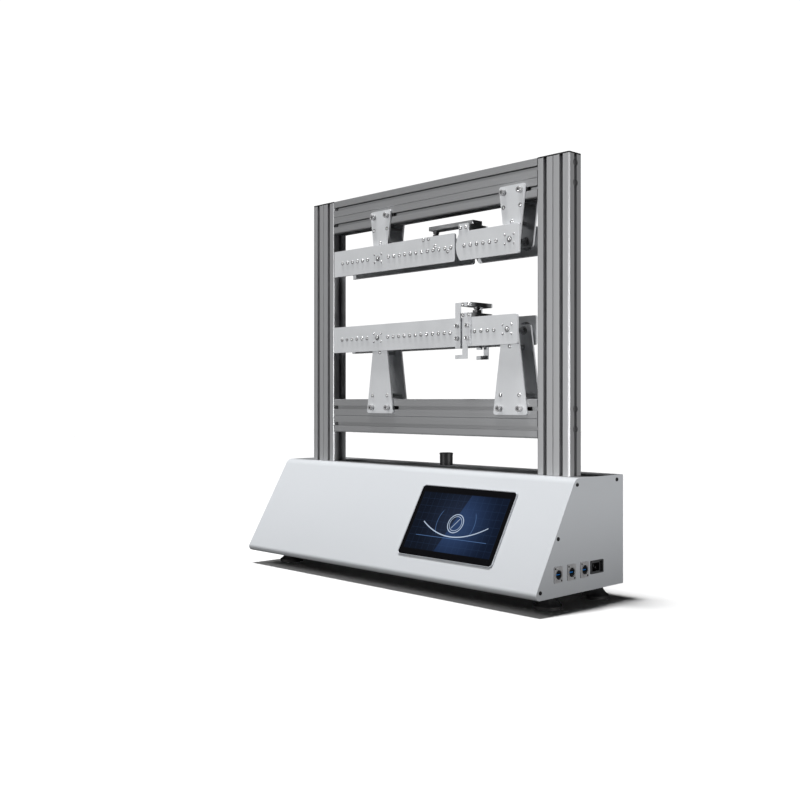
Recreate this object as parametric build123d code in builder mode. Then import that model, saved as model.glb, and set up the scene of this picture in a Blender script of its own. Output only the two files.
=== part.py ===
from build123d import *
from math import cos, radians, sin, tan
import os

# Beam bending apparatus: a wide base housing with a touch screen on its leaning front, two slotted
# aluminium columns joined by two rails, and four balance levers on ball bearings.
# Frame: origin on the floor below the middle of the base, +X right, +Y to the rear, +Z up, millimetres.

# Base housing
base_width = 900.0
base_depth = 282.0
base_height = 221.0
foot_height = 31.5
front_lean = 30.3
nose_radius = 10.0
shoulder_radius = 20.0
sheet_thickness = 2.0
panel_thickness = 3.0
floor_thickness = 3.0
fold_radius = 2.5
seam_y = -4.0
seam_flange = 14.0
front_lip = 35.0
rear_lip = 14.0
floor_overlap = 8.0

# Screws that hold the side panels, as places on the panel
panel_screw_yz = [(-15.0, 240.0), (118.0, 243.0), (-75.0, 141.0), (-129.0, 46.0)]
panel_screw_head_radius = 4.0
panel_screw_head_height = 2.5
panel_screw_shank_radius = 2.0
panel_screw_length = 11.0
panel_block_length = 12.0

# Rubber feet
foot_x = 402.0
foot_y = [-45.0, 112.0]
foot_top_radius = 13.0
foot_bottom_radius = 28.0
foot_rim_height = 6.0
foot_recess_radius = 8.0
foot_recess_depth = 8.0
foot_screw_radius = 3.0
foot_screw_head_radius = 6.0
foot_screw_head_height = 4.0
foot_nut_width = 10.0
foot_nut_height = 5.0

# Touch screen
screen_x = 194.2
screen_z = 147.0
screen_width = 264.5
screen_height = 164.5
screen_corner = 9.0
screen_rim = 2.0
screen_rim_height = 3.0
screen_glass_thickness = 2.6
screen_housing_depth = 26.0
screen_window_width = 246.0
screen_window_height = 146.0

# Data sockets on the right side
socket_y = [-75.7, -34.5, 7.3]
socket_z = 74.0
socket_flange_width = 26.0
socket_flange_height = 31.0
socket_flange_thickness = 2.0
socket_flange_corner = 3.0
socket_barrel_radius = 11.6
socket_barrel_length = 22.0
socket_insert_radius = 8.8
socket_slot_width = 13.0
socket_slot_height = 6.2
socket_slot_depth = 12.0
socket_tongue_width = 11.0
socket_tongue_height = 2.0

# Mains inlet with its rocker switch
inlet_y = 48.35
inlet_z = 75.5
inlet_flange_width = 41.9
inlet_flange_height = 26.0
inlet_flange_thickness = 2.4
inlet_body_width = 38.9
inlet_body_height = 23.0
inlet_body_depth = 31.0
inlet_wall = 1.5
inlet_mouth_width = 24.3
inlet_mouth_height = 16.3
inlet_mouth_depth = 17.0
inlet_pin_length = 11.6
inlet_pin_pitch = 7.0
rocker_width = 9.4
rocker_half_height = 9.3
rocker_waist = 5.0
rocker_ends = 6.2
rocker_tilt = 8.0
rocker_pin_radius = 1.4

# Lead outlet on the top
outlet_y = 94.0
outlet_radius = 15.0
outlet_rim_radius = 15.8
outlet_rim_height = 4.0
outlet_height = 28.6
outlet_bore_radius = 9.0
outlet_thread_radius = 12.0
outlet_thread_length = 10.0
outlet_nut_radius = 16.0
outlet_nut_height = 6.0

# Slotted aluminium profile, 80 by 40
profile_width = 80.0
profile_depth = 40.0
profile_corner = 3.0
slot_offset = 20.0
slot_mouth = 8.4
slot_lip = 4.5
slot_cavity = 16.0
slot_shoulder = 8.5
slot_depth = 12.2
slot_floor = 9.2
core_radius = 3.4
chamber_width = 17.0
chamber_depth = 31.0
groove_width = 1.6

# Frame of columns and rails
frame_y = 26.0
frame_top = 890.0
cap_thickness = 3.0
cap_plug_length = 8.0
left_column_x = -338.6
right_column_x = 376.0
upper_rail_z = 853.0
lower_rail_z = 365.2
rail_bolt_radius = 4.0
rail_bolt_head_radius = 6.5
rail_bolt_head_height = 8.0
rail_bolt_reach = 25.0
rail_bolt_pocket_radius = 7.5
shoe_width = 110.0
shoe_depth = 92.0
shoe_thickness = 8.0
shoe_screw_inset = 10.0
shoe_screw_radius = 3.0
shoe_screw_head_radius = 5.0
shoe_screw_head_height = 6.0
shoe_screw_length = 11.0

# Bracket plates that carry the levers
bracket_thickness = 5.0
bracket_corner = 5.0
bracket_narrow_width = 37.0
bracket_below_pivot = 12.0
bracket_onto_rail = 33.0
upper_bracket_width = 70.0
lower_bracket_width = 90.0
bracket_bolt_radius = 4.0
bracket_bolt_head_radius = 6.5
bracket_bolt_head_height = 8.0
bracket_nut_width = 15.4
bracket_nut_length = 20.0
bracket_nut_thickness = 4.0
spacer_radius = 5.0
small_head_radius = 4.75
small_head_height = 2.4
crown_share = 0.62

# Lever pivots
upper_pivot_z = 734.0
lower_pivot_z = 549.0
upper_left_pivot_x = -124.6
upper_right_pivot_x = 274.0
lower_left_pivot_x = -126.7
lower_right_pivot_x = 268.1
bearing_outer_radius = 9.5
axle_radius = 5.0
axle_clearance = 0.05
flange_radius = 18.0
flange_thickness = 2.4
hub_radius = 6.4
hub_proud = 0.6
flange_screw_dx = 12.0
flange_screw_dz = 9.5
flange_screw_head_radius = 2.75
flange_screw_head_height = 2.0
centre_screw_head_height = 3.0
fastener_clearance = 0.1
press_clearance = 0.02

# Lever plates
lever_gap = 3.0
lever_thickness = 5.0
lever_height = 62.0
lever_corner = 5.0
row_pitch = 18.0
row_start = 36.0
upper_left_ends = (-281.9, 120.8)
upper_right_ends = (124.1, 299.7)
lower_left_ends = (-284.8, 139.5)
lower_right_ends = (143.0, 295.0)
upper_right_nose_sagitta = 12.0

# Cross bars between the lever plates
bar_width = 26.0
bar_height = 9.0
bar_screw_pitch = 16.4
bar_chamfer = 0.5
upper_left_bar_x = 33.0
upper_right_bar_x = 145.2
lower_bar_x = 155.6
ear_height = 17.0
pad_width = 10.0
contact_gap = 0.4

# Pressing arm of the upper pair
arm_width = 30.0
arm_thickness = 9.0
arm_left_x = 24.0
upper_nose_height = 7.0

# Straps and hooks of the lower pair
strap_thickness = 3.0
strap_width = 15.0
strap_top = 612.3
strap_bottom = 513.6
hook_leg_left = 145.6
hook_leg_width = 13.4
hook_foot_left = 124.5
hook_foot_height = 8.5
hook_bottom = 491.5
hook_top = 590.0
lower_nose_height = 5.5
lower_anvil_width = 13.0
plate_screw_head_radius = 5.0
plate_screw_head_height = 5.0
plate_screw_radius = 3.0
plate_screw_dz = 13.5
strap_screw_x = 131.0
hook_screw_x = 160.0

# Inside the base
supply_size = (200.0, 100.0, 42.0)
supply_place = (-150.0, 50.0)
board_size = (220.0, 120.0, 1.6)
board_place = (80.0, 20.0)
standoff_height = 10.0
standoff_radius = 3.0

# Places worked out from the sizes above
base_bottom = foot_height
base_top = base_bottom + base_height
base_rear = base_depth / 2
lean_cos = cos(radians(front_lean))
lean_sin = sin(radians(front_lean))
lean_tan = tan(radians(front_lean))
nose_apex_y = -base_depth / 2 + nose_radius - nose_radius * (1 + lean_sin) / lean_cos
floor_bottom = base_bottom + sheet_thickness
floor_top = floor_bottom + floor_thickness
inner_width = base_width - 2 * panel_thickness
side_x = base_width / 2
frame_front = frame_y - profile_depth / 2
bracket_front = frame_front - bracket_thickness
lever_front = bracket_front - lever_gap - lever_thickness
lever_back = lever_front + lever_thickness
shoe_top = floor_top + shoe_thickness
inner_left = left_column_x + profile_width / 2
inner_right = right_column_x - profile_width / 2
rail_length = inner_right - inner_left
rail_zs = (upper_rail_z, lower_rail_z)
MID = (Align.CENTER, Align.CENTER, Align.MIN)
HANG = (Align.CENTER, Align.CENTER, Align.MAX)
middle_plane = Plane.XZ.offset(-frame_y)

os.makedirs("parts", exist_ok=True)


def front_at(z, inset=0.0):
    """Y of the leaning front face at height z, moved inwards by inset."""
    return nose_apex_y + (z - base_bottom) * lean_tan + inset / lean_cos


def save(piece, name):
    """Label a finished piece and write its STEP file."""
    piece.label = name
    export_step(piece, f"parts/{name}.step")


def facing_front(x, y, z):
    """A place whose local +Z points out of the front."""
    return Plane(origin=(x, y, z), x_dir=(1, 0, 0), z_dir=(0, -1, 0)).location


def facing_right(x, y, z):
    """A place whose local +Z points out of the right side and whose local X runs to the rear."""
    return Plane(origin=(x, y, z), x_dir=(0, 1, 0), z_dir=(1, 0, 0)).location


def facing_left(x, y, z):
    """A place whose local +Z points out of the left side."""
    return Plane(origin=(x, y, z), x_dir=(0, -1, 0), z_dir=(-1, 0, 0)).location


def front_plane(y_front, thickness):
    """The plane from which a plate is extruded forwards to y_front."""
    return Plane.XZ.offset(-(y_front + thickness))


def button_screw(head_radius, head_height, shank_radius, length):
    """A button head on a plain shank, head up, seated at its origin."""
    with BuildPart() as screw:
        Cone(head_radius, head_radius * crown_share, head_height, align=MID)
        Cylinder(shank_radius, length, align=HANG)
    return screw.part


def cap_screw(head_radius, head_height, shank_radius, length):
    """A cylinder head screw, head up, seated at its origin."""
    with BuildPart() as screw:
        Cylinder(head_radius, head_height, align=MID)
        Cylinder(shank_radius, length, align=HANG)
    return screw.part


def button_head(head_radius, head_height):
    """The head of a small button screw, seated at its origin; its thread is not drawn."""
    with BuildPart() as head:
        Cone(head_radius, head_radius * crown_share, head_height, align=MID)
    return head.part


def scatter(piece, places):
    """Copies of one piece at several places, as separate solids."""
    with BuildPart() as group:
        with Locations(*places):
            add(piece)
    return group.part


def together(*groups):
    """Pieces that touch but stay separate solids of one node."""
    return Compound(children=[solid for group in groups for solid in group.solids()])


def front_and_rear(piece, places):
    """Copies of one piece at places on the front plates, and again on the rear plates."""
    with BuildPart() as group:
        with Locations(*places):
            add(piece)
        mirror(about=middle_plane)
    return group.part


# Outline of the housing seen from the right: a rear corner each side, the shoulder and the nose
def housing_outline():
    with BuildSketch() as outline:
        with BuildLine():
            FilletPolyline(
                (base_rear, base_bottom),
                (base_rear, base_top),
                (front_at(base_top), base_top),
                (front_at(base_bottom), base_bottom),
                radius=[fold_radius, fold_radius, shoulder_radius, nose_radius],
                close=True,
            )
        make_face()
    return outline.sketch


# Front sheet: one bent sheet from the seam flange, over the shoulder, down the lean and under the nose
with BuildPart() as front_sheet:
    with BuildSketch(Plane.YZ.offset(-inner_width / 2)):
        with BuildLine():
            outer = FilletPolyline(
                (seam_y, base_top - seam_flange),
                (seam_y, base_top),
                (front_at(base_top), base_top),
                (front_at(base_bottom), base_bottom),
                (front_at(base_bottom) + front_lip, base_bottom),
                radius=[fold_radius, shoulder_radius, nose_radius],
            )
            inside_top = base_top - sheet_thickness
            inner = FilletPolyline(
                (seam_y - sheet_thickness, base_top - seam_flange),
                (seam_y - sheet_thickness, inside_top),
                (front_at(inside_top, sheet_thickness), inside_top),
                (front_at(floor_bottom, sheet_thickness), floor_bottom),
                (front_at(base_bottom) + front_lip, floor_bottom),
                radius=[
                    fold_radius - sheet_thickness,
                    shoulder_radius - sheet_thickness,
                    nose_radius - sheet_thickness,
                ],
            )
            Line(outer @ 0, inner @ 0)
            Line(outer @ 1, inner @ 1)
        make_face()
    extrude(amount=inner_width)
    screen_plane = Plane(
        origin=(screen_x, front_at(screen_z), screen_z),
        x_dir=(1, 0, 0),
        z_dir=(0, -lean_cos, lean_sin),
    )
    with BuildSketch(screen_plane):
        Rectangle(screen_window_width + 2, screen_window_height + 2)
    extrude(amount=sheet_thickness * 2, both=True, mode=Mode.SUBTRACT)
save(front_sheet.part, "front_sheet")

# Rear cover: one bent sheet from the seam over the top and down the back, cut out for the columns
with BuildPart() as rear_cover:
    with BuildSketch(Plane.YZ.offset(-inner_width / 2)):
        with BuildLine():
            outer = FilletPolyline(
                (seam_y, base_top - seam_flange),
                (seam_y, base_top),
                (base_rear, base_top),
                (base_rear, base_bottom),
                (base_rear - rear_lip, base_bottom),
                radius=[fold_radius, fold_radius, fold_radius],
            )
            inner = FilletPolyline(
                (seam_y + sheet_thickness, base_top - seam_flange),
                (seam_y + sheet_thickness, base_top - sheet_thickness),
                (base_rear - sheet_thickness, base_top - sheet_thickness),
                (base_rear - sheet_thickness, floor_bottom),
                (base_rear - rear_lip, floor_bottom),
                radius=[fold_radius - sheet_thickness] * 3,
            )
            Line(outer @ 0, inner @ 0)
            Line(outer @ 1, inner @ 1)
        make_face()
    extrude(amount=inner_width)
    with BuildSketch(Plane.XY.offset(base_top)):
        with Locations((left_column_x, frame_y), (right_column_x, frame_y)):
            RectangleRounded(profile_width + 2, profile_depth + 2, profile_corner + 1)
        with Locations((0, outlet_y)):
            Circle(outlet_thread_radius + fastener_clearance)
    extrude(amount=-sheet_thickness, mode=Mode.SUBTRACT)
save(rear_cover.part, "rear_cover")

# Side panels close both ends of the housing
for name, x, sign in (("left_side_panel", -side_x, -1), ("right_side_panel", side_x - panel_thickness, 1)):
    with BuildPart() as panel:
        with BuildSketch(Plane.YZ.offset(x)):
            add(housing_outline())
            with Locations(*panel_screw_yz):
                Circle(panel_screw_shank_radius + fastener_clearance, mode=Mode.SUBTRACT)
            if sign > 0:
                with Locations(*[(y, socket_z) for y in socket_y]):
                    Circle(socket_barrel_radius + fastener_clearance, mode=Mode.SUBTRACT)
                with Locations((inlet_y, inlet_z)):
                    Rectangle(inlet_body_width + 0.4, inlet_body_height + 0.4, mode=Mode.SUBTRACT)
        extrude(amount=panel_thickness)
    save(panel.part, name)

# Floor of the base, lying on the lips of the front sheet and the rear cover
floor_front = front_at(base_bottom) + front_lip - floor_overlap
floor_rear = base_rear - sheet_thickness - 1
foot_places = [(x, y) for x in (-foot_x, foot_x) for y in foot_y]
shoe_corners = [
    (x + sx * (shoe_width / 2 - shoe_screw_inset), frame_y + sy * (shoe_depth / 2 - shoe_screw_inset))
    for x in (left_column_x, right_column_x)
    for sx in (-1, 1)
    for sy in (-1, 1)
]
with BuildPart() as base_floor:
    with BuildSketch(Plane.XY.offset(floor_bottom)):
        with Locations((0, (floor_front + floor_rear) / 2)):
            Rectangle(inner_width, floor_rear - floor_front)
        with Locations(*foot_places):
            Circle(foot_screw_radius + fastener_clearance, mode=Mode.SUBTRACT)
        with Locations(*shoe_corners):
            Circle(shoe_screw_radius + fastener_clearance, mode=Mode.SUBTRACT)
    extrude(amount=floor_thickness)
save(base_floor.part, "base_floor")

# Threaded blocks inside the panels: two hang under the sheets, two lie against the leaning front
block_sections = [
    ((seam_y - sheet_thickness - 7.0, panel_screw_yz[0][1] - 1.0), 14.0, 12.0, 0.0),
    ((panel_screw_yz[1][0], base_top - sheet_thickness - 7.5), 15.0, 15.0, 0.0),
    (panel_screw_yz[2], 0.0, 14.0, front_lean),
    (panel_screw_yz[3], 0.0, 9.0, front_lean),
]
with BuildPart() as corner_blocks:
    with BuildSketch(Plane.YZ.offset(side_x - panel_thickness - panel_block_length)):
        for (y, z), width, height, lean in block_sections:
            if lean:
                width = 2 * (y - front_at(z, sheet_thickness)) * lean_cos
            with Locations((y, z)):
                Rectangle(width, height, rotation=-lean)
        with Locations(*panel_screw_yz):
            Circle(panel_screw_shank_radius + fastener_clearance, mode=Mode.SUBTRACT)
    extrude(amount=panel_block_length)
    mirror(about=Plane.YZ)
save(corner_blocks.part, "corner_blocks")

panel_screw = button_screw(
    panel_screw_head_radius, panel_screw_head_height, panel_screw_shank_radius, panel_screw_length
)
panel_places = [facing_right(side_x, y, z) for y, z in panel_screw_yz]
panel_places += [facing_left(-side_x, y, z) for y, z in panel_screw_yz]
save(scatter(panel_screw, panel_places), "side_panel_screws")

# Bell-shaped rubber feet with a recess for their screw
with BuildPart() as foot:
    with BuildSketch(Plane.XZ):
        with BuildLine():
            Line((foot_screw_radius + 0.1, foot_recess_depth), (foot_screw_radius + 0.1, floor_bottom))
            Line((foot_screw_radius + 0.1, floor_bottom), (foot_top_radius, floor_bottom))
            flank = ThreePointArc(
                (foot_top_radius, floor_bottom),
                (foot_top_radius + 4.2, foot_rim_height + 11.0),
                (foot_bottom_radius, foot_rim_height),
            )
            Polyline(
                flank @ 1,
                (foot_bottom_radius, 0),
                (foot_recess_radius, 0),
                (foot_recess_radius, foot_recess_depth),
                (foot_screw_radius + 0.1, foot_recess_depth),
            )
        make_face()
    revolve(axis=Axis.Z)
save(scatter(foot.part, foot_places), "rubber_feet")

# Foot screws seat in the recesses, with a nut on the floor of the base
with BuildPart() as foot_screw:
    with Locations((0, 0, foot_recess_depth - foot_screw_head_height)):
        Cylinder(foot_screw_head_radius, foot_screw_head_height, align=MID)
    with Locations((0, 0, foot_recess_depth)):
        Cylinder(foot_screw_radius, floor_top + foot_nut_height + 2 - foot_recess_depth, align=MID)
with BuildPart() as foot_nut:
    with BuildSketch(Plane.XY.offset(floor_top)):
        RegularPolygon(foot_nut_width / 2, 6, major_radius=False)
        Circle(foot_screw_radius + fastener_clearance, mode=Mode.SUBTRACT)
    extrude(amount=foot_nut_height)
with BuildPart() as foot_screws:
    with Locations(*foot_places):
        add(foot_screw.part)
        add(foot_nut.part)
save(foot_screws.part, "foot_screws")

# Touch screen: a thin rim, the glass inside it, and the display box behind the window
with BuildPart() as display_frame:
    with BuildSketch(screen_plane):
        RectangleRounded(screen_width, screen_height, screen_corner)
        RectangleRounded(
            screen_width - 2 * screen_rim,
            screen_height - 2 * screen_rim,
            screen_corner - screen_rim,
            mode=Mode.SUBTRACT,
        )
    extrude(amount=screen_rim_height)
save(display_frame.part, "display_frame")

with BuildPart() as display_glass:
    with BuildSketch(screen_plane):
        RectangleRounded(
            screen_width - 2 * screen_rim - 0.2,
            screen_height - 2 * screen_rim - 0.2,
            screen_corner - screen_rim,
        )
    extrude(amount=screen_glass_thickness)
save(display_glass.part, "display_glass")

with BuildPart() as display_housing:
    with BuildSketch(screen_plane):
        Rectangle(screen_window_width, screen_window_height)
    extrude(amount=-screen_housing_depth)
    chamfer(display_housing.faces().sort_by(Axis.Y)[-1].edges(), length=6)
save(display_housing.part, "display_housing")

# Data sockets: flange with its barrel, the round insert and the tongue in its slot
with BuildPart() as socket_flange:
    with BuildSketch():
        RectangleRounded(socket_flange_width, socket_flange_height, socket_flange_corner)
    extrude(amount=socket_flange_thickness)
    Cylinder(socket_barrel_radius, socket_barrel_length, align=HANG)
    with Locations((0, 0, socket_flange_thickness)):
        Hole(socket_insert_radius + fastener_clearance)
with BuildPart() as socket_insert:
    with Locations((0, 0, socket_flange_thickness - 0.6)):
        Cylinder(socket_insert_radius, socket_barrel_length, align=HANG)
    with BuildSketch(Plane.XY.offset(socket_flange_thickness - 0.6)):
        Rectangle(socket_slot_width, socket_slot_height)
    extrude(amount=-socket_slot_depth, mode=Mode.SUBTRACT)
with BuildPart() as socket_tongue:
    with BuildSketch(Plane.XY.offset(socket_flange_thickness - 0.6 - socket_slot_depth)):
        Rectangle(socket_tongue_width, socket_tongue_height)
    extrude(amount=socket_slot_depth - 1)
socket_places = [facing_right(side_x, y, socket_z) for y in socket_y]
save(scatter(socket_flange.part, socket_places), "socket_flanges")
save(scatter(socket_insert.part, socket_places), "socket_inserts")
save(scatter(socket_tongue.part, socket_places), "socket_tongues")

# Mains inlet: a flanged body with a socket mouth, three pins and a well for the rocker
mouth_y = -inlet_body_width / 2 + inlet_wall + inlet_mouth_width / 2
well_width = inlet_body_width - 3 * inlet_wall - inlet_mouth_width
well_y = inlet_body_width / 2 - inlet_wall - well_width / 2
well_height = 2 * (rocker_half_height + 1.2)
rocker_pivot_depth = inlet_flange_thickness - rocker_ends - 1.2
rocker_axis_x = side_x - 5.0
with BuildPart() as inlet:
    with BuildSketch():
        RectangleRounded(inlet_flange_width, inlet_flange_height, 1.5)
    extrude(amount=inlet_flange_thickness)
    with BuildSketch():
        Rectangle(inlet_body_width, inlet_body_height)
    extrude(amount=-inlet_body_depth)
    with BuildSketch(Plane.XY.offset(inlet_flange_thickness)):
        with Locations((mouth_y, 0)):
            Rectangle(inlet_mouth_width, inlet_mouth_height)
    extrude(amount=-inlet_mouth_depth, mode=Mode.SUBTRACT)
    with BuildSketch(Plane.XY.offset(inlet_flange_thickness)):
        with Locations((well_y, 0)):
            Rectangle(well_width, well_height)
    extrude(amount=-inlet_mouth_depth, mode=Mode.SUBTRACT)
    with Locations((well_y, 0, -5.0)):
        Cylinder(rocker_pin_radius + 0.05, well_width + 1.8, rotation=(0, 90, 0), mode=Mode.SUBTRACT)
with BuildPart() as inlet_pins:
    with BuildSketch(Plane.XY.offset(inlet_flange_thickness - inlet_mouth_depth)):
        with Locations((mouth_y - inlet_pin_pitch, -2), (mouth_y, 2), (mouth_y + inlet_pin_pitch, -2)):
            Rectangle(2, 4)
    extrude(amount=inlet_pin_length)
inlet_place = [facing_right(side_x, inlet_y, inlet_z)]
save(together(scatter(inlet.part, inlet_place), scatter(inlet_pins.part, inlet_place)), "mains_inlet")

# Rocker: a shallow V face that tips about a pin across its well, drawn in its off position
with BuildPart() as rocker:
    with BuildSketch(Plane.XZ.offset(-rocker_width / 2)):
        with BuildLine():
            Polyline(
                (rocker_waist, 0),
                (rocker_ends, rocker_half_height),
                (0, rocker_half_height),
                (-2.5, 4.0),
                (-2.5, -4.0),
                (0, -rocker_half_height),
                (rocker_ends, -rocker_half_height),
                close=True,
            )
        make_face()
    extrude(amount=rocker_width)
    Cylinder(rocker_pin_radius, well_width + 1.4, rotation=(90, 0, 0))
rocker_place = Location((rocker_axis_x, inlet_y + well_y, inlet_z), (0, rocker_tilt, 0))
save(scatter(rocker.part, [rocker_place]), "power_rocker")

# Lead outlet: a rimmed sleeve through the top, with its nut below the sheet
with BuildPart() as lead_outlet:
    with BuildSketch(Plane.XY.offset(base_top)):
        with Locations((0, outlet_y)):
            Circle(outlet_radius)
    extrude(amount=outlet_height)
    with BuildSketch(Plane.XY.offset(base_top + outlet_height - outlet_rim_height)):
        with Locations((0, outlet_y)):
            Circle(outlet_rim_radius)
    extrude(amount=outlet_rim_height)
    with BuildSketch(Plane.XY.offset(base_top)):
        with Locations((0, outlet_y)):
            Circle(outlet_thread_radius)
    extrude(amount=-outlet_thread_length)
    with Locations((0, outlet_y, base_top + outlet_height)):
        Hole(outlet_bore_radius)
    fillet(lead_outlet.faces().sort_by(Axis.Z)[-1].edges(), radius=1.2)
with BuildPart() as outlet_nut:
    with BuildSketch(Plane.XY.offset(base_top - sheet_thickness)):
        with Locations((0, outlet_y)):
            RegularPolygon(outlet_nut_radius, 6)
            Circle(outlet_thread_radius + fastener_clearance, mode=Mode.SUBTRACT)
    extrude(amount=-outlet_nut_height)
save(together(lead_outlet.part, outlet_nut.part), "lead_outlet")


# Section of the slotted profile: four T-slots on the wide faces, one on each narrow face, two core
# bores for end screws, a hollow middle and a fine groove down each wide face
def profile_section():
    with BuildSketch() as section:
        RectangleRounded(profile_width, profile_depth, profile_corner)
        with BuildSketch(mode=Mode.PRIVATE) as tee:
            with BuildLine():
                Polyline(
                    (-slot_mouth / 2, 1),
                    (-slot_mouth / 2, -slot_lip),
                    (-slot_cavity / 2, -slot_lip),
                    (-slot_cavity / 2, -slot_shoulder),
                    (-slot_floor / 2, -slot_depth),
                    (slot_floor / 2, -slot_depth),
                    (slot_cavity / 2, -slot_shoulder),
                    (slot_cavity / 2, -slot_lip),
                    (slot_mouth / 2, -slot_lip),
                    (slot_mouth / 2, 1),
                    close=True,
                )
            make_face()
        for x in (-slot_offset, slot_offset):
            add(tee.sketch.moved(Location((x, profile_depth / 2))), mode=Mode.SUBTRACT)
            add(tee.sketch.moved(Location((x, -profile_depth / 2), 180)), mode=Mode.SUBTRACT)
        add(tee.sketch.moved(Location((profile_width / 2, 0), -90)), mode=Mode.SUBTRACT)
        add(tee.sketch.moved(Location((-profile_width / 2, 0), 90)), mode=Mode.SUBTRACT)
        with Locations((-slot_offset, 0), (slot_offset, 0)):
            Circle(core_radius, mode=Mode.SUBTRACT)
        Rectangle(chamber_width, chamber_depth, mode=Mode.SUBTRACT)
        with Locations((0, profile_depth / 2), (0, -profile_depth / 2)):
            Rectangle(groove_width, groove_width, rotation=45, mode=Mode.SUBTRACT)
    return section.sketch


# Columns stand on their shoes inside the base; bolts for the rails pass through them sideways
bolt_zs = [z + dz for z in rail_zs for dz in (-slot_offset, slot_offset)]
for name, x, outside in (("left_column", left_column_x, -1), ("right_column", right_column_x, 1)):
    with BuildPart() as column:
        with BuildSketch(Plane.XY.offset(shoe_top)):
            with Locations((x, frame_y)):
                add(profile_section())
        extrude(amount=frame_top - shoe_top)
        with BuildSketch(Plane.YZ.offset(x - profile_width / 2)):
            with Locations(*[(frame_y, z) for z in bolt_zs]):
                Circle(rail_bolt_radius + fastener_clearance)
        extrude(amount=profile_width, mode=Mode.SUBTRACT)
        with BuildSketch(Plane.YZ.offset(x + outside * profile_width / 2)):
            with Locations(*[(frame_y, z) for z in bolt_zs]):
                Circle(rail_bolt_pocket_radius)
        extrude(amount=-outside * slot_depth, mode=Mode.SUBTRACT)
    save(column.part, name)

# Caps on the column tops, with plugs that press into the core bores
with BuildPart() as column_caps:
    for x in (left_column_x, right_column_x):
        with BuildSketch(Plane.XY.offset(frame_top)):
            with Locations((x, frame_y)):
                RectangleRounded(profile_width, profile_depth, profile_corner)
        extrude(amount=cap_thickness)
        with BuildSketch(Plane.XY.offset(frame_top)):
            with Locations((x - slot_offset, frame_y), (x + slot_offset, frame_y)):
                Circle(core_radius - fastener_clearance)
        extrude(amount=-cap_plug_length)
save(column_caps.part, "column_caps")

# Rails between the columns, their core bores opened for the end bolts
for name, z in (("upper_rail", upper_rail_z), ("lower_rail", lower_rail_z)):
    with BuildPart() as rail:
        with BuildSketch(Plane.YZ.offset(inner_left)):
            with Locations(Location((frame_y, z), 90)):
                add(profile_section())
        extrude(amount=rail_length)
        for x, way in ((inner_left, 1), (inner_right, -1)):
            with BuildSketch(Plane.YZ.offset(x)):
                with Locations((frame_y, z - slot_offset), (frame_y, z + slot_offset)):
                    Circle(rail_bolt_radius + fastener_clearance)
            extrude(amount=way * (rail_bolt_reach + 2), mode=Mode.SUBTRACT)
    save(rail.part, name)

# Rail end bolts, their heads sunk to the floor of the column's side slot
rail_bolt = cap_screw(
    rail_bolt_head_radius,
    rail_bolt_head_height,
    rail_bolt_radius,
    profile_width - slot_depth + rail_bolt_reach,
)
bolt_places = []
for z in bolt_zs:
    bolt_places.append(facing_left(left_column_x - profile_width / 2 + slot_depth, frame_y, z))
    bolt_places.append(facing_right(right_column_x + profile_width / 2 - slot_depth, frame_y, z))
save(scatter(rail_bolt, bolt_places), "rail_end_bolts")

# Column shoes: plates that spread the columns' load on the floor of the base
with BuildPart() as column_shoes:
    with BuildSketch(Plane.XY.offset(floor_top)):
        with Locations((left_column_x, frame_y), (right_column_x, frame_y)):
            Rectangle(shoe_width, shoe_depth)
        with Locations(*shoe_corners):
            Circle(shoe_screw_radius + fastener_clearance, mode=Mode.SUBTRACT)
    extrude(amount=shoe_thickness)
    for x in (left_column_x, right_column_x):
        with BuildSketch(Plane.XY.offset(shoe_top)):
            with Locations((x - slot_offset, frame_y), (x + slot_offset, frame_y)):
                Circle(core_radius - fastener_clearance)
        extrude(amount=cap_plug_length)
shoe_screw = cap_screw(
    shoe_screw_head_radius, shoe_screw_head_height, shoe_screw_radius, shoe_screw_length
)
shoe_screws = scatter(shoe_screw, [Location((x, y, shoe_top)) for x, y in shoe_corners])
save(together(column_shoes.part, shoe_screws), "column_shoes")


# Bracket plates: tapered pairs clamped on the rails, their narrow ends holding the pivot bearings.
# way is 1 where the bracket stands up from its rail to the pivot and -1 where it hangs down
def bracket_points(pivot_z, rail_z, wide, way):
    rail_edge = rail_z + way * profile_width / 2
    bolt_z = rail_edge - way * slot_offset
    end_z = rail_edge - way * bracket_onto_rail
    tip_z = pivot_z + way * bracket_below_pivot
    tie_z = rail_edge + way * (8.2 if way > 0 else 10.6)
    single_tie_z = pivot_z - way * (35.0 if way > 0 else 36.7)
    return bolt_z, end_z, tip_z, tie_z, single_tie_z


def bracket_ties(pivot_x, pivot_z, rail_z, wide, way):
    bolt_z, end_z, tip_z, tie_z, single_tie_z = bracket_points(pivot_z, rail_z, wide, way)
    tie_dx = wide / 2 - (20.0 if way > 0 else 12.7)
    return [(pivot_x - tie_dx, tie_z), (pivot_x + tie_dx, tie_z), (pivot_x, single_tie_z)]


def bracket_bolts(pivot_x, pivot_z, rail_z, wide, way):
    bolt_z = bracket_points(pivot_z, rail_z, wide, way)[0]
    bolt_dx = wide / 2 - (18.0 if way > 0 else 12.5)
    return [(pivot_x - bolt_dx, bolt_z), (pivot_x + bolt_dx, bolt_z)]


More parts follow.
